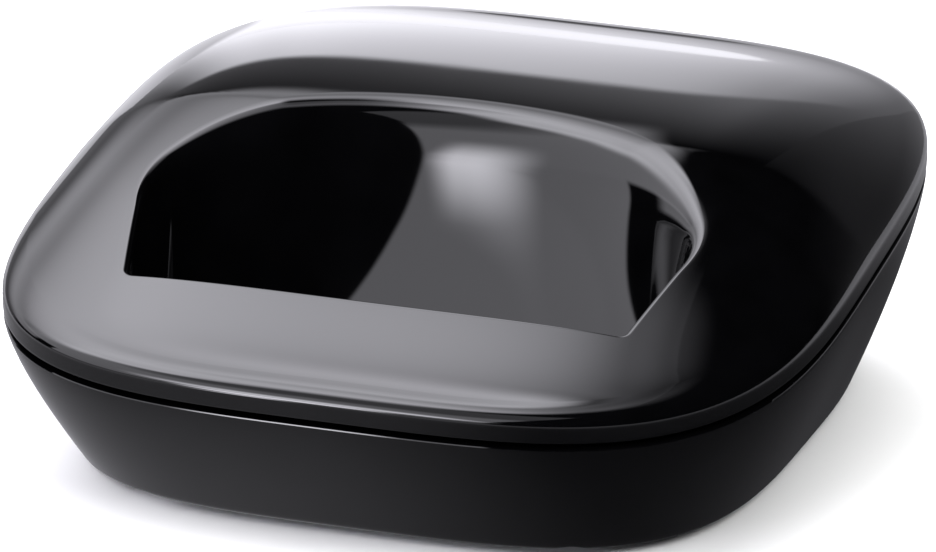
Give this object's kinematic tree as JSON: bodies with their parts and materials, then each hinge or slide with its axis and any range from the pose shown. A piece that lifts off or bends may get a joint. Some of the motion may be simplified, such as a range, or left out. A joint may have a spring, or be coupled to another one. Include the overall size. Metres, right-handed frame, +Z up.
{
  "type": "cordless phone base",
  "caption": "Wedge-shaped glossy desk base with soft corners, a scooped handset pocket, sprung charging contacts, rear sockets and a page button.",
  "frame": {"origin": "on the desk, below the centre of the bounding box", "axes": "+Z up from the desk, front of the base (low edge of the wedge) towards -Y, +X to the right seen from the front"},
  "size_m": [0.084, 0.0986, 0.0335],
  "materials": {
    "glossy_black": "piano-black high gloss",
    "black_plastic": "fine matt",
    "button_plastic": "satin grey",
    "gold_contact": "gold plated",
    "spring_steel": "bright wire",
    "tinned_steel": "tinned",
    "copper_strip": "bright",
    "board_laminate": "green solder mask",
    "chip_black": "moulded",
    "can_aluminium": "sleeved can",
    "ferrite": "matt ferrite",
    "resistor_ceramic": "glazed",
    "plated_screw": "zinc plated",
    "ballast_steel": "phosphated",
    "foot_rubber": "soft matt",
    "label_paper": "blank silver-grey film"
  },
  "bodies": {
    "base": {"top_shell": "glossy_black", "bottom_shell": "glossy_black", "contact_carrier": "black_plastic", "contact_spring_left": "spring_steel", "contact_spring_right": "spring_steel", "contact_lead_left": "copper_strip", "contact_lead_right": "copper_strip", "antenna_left": "copper_strip", "antenna_right": "copper_strip", "circuit_board": "board_laminate", "line_socket": "black_plastic", "line_socket_contacts": "gold_contact", "power_socket": "black_plastic", "power_socket_contacts": "gold_contact", "rf_shield": "tinned_steel", "main_chip": "chip_black", "memory_chip": "chip_black", "voltage_regulator": "chip_black", "crystal": "tinned_steel", "capacitors": "can_aluminium", "power_inductor": "ferrite", "chip_resistors": "resistor_ceramic", "page_switch": "black_plastic", "ballast_plate": "ballast_steel", "foot_front_left": "foot_rubber", "foot_front_right": "foot_rubber", "foot_rear_left": "foot_rubber", "foot_rear_right": "foot_rubber", "case_screws": "plated_screw", "board_screws": "plated_screw", "carrier_screws": "plated_screw", "rating_label": "label_paper"},
    "charge_contact_left": {"charge_contact_left": "gold_contact"},
    "charge_contact_right": {"charge_contact_right": "gold_contact"},
    "page_button": {"page_button": "button_plastic", "page_switch_plunger": "black_plastic"}
  },
  "joints": [
    {"name": "charge_contact_left_press", "type": "slide", "parent": "base", "child": "charge_contact_left", "axis": [0, 0, 1], "range_m": [-0.0015, 0], "stiffness_N_per_m": 400, "springref_m": 0.0008, "deforming": ["contact_spring_left"]},
    {"name": "charge_contact_right_press", "type": "slide", "parent": "base", "child": "charge_contact_right", "axis": [0, 0, 1], "range_m": [-0.0015, 0], "stiffness_N_per_m": 400, "springref_m": 0.0008, "deforming": ["contact_spring_right"]},
    {"name": "page_button_press", "type": "slide", "parent": "base", "child": "page_button", "axis": [0, -1, 0], "range_m": [0, 0.0006], "stiffness_N_per_m": 800, "springref_m": -0.0004}
  ]
}
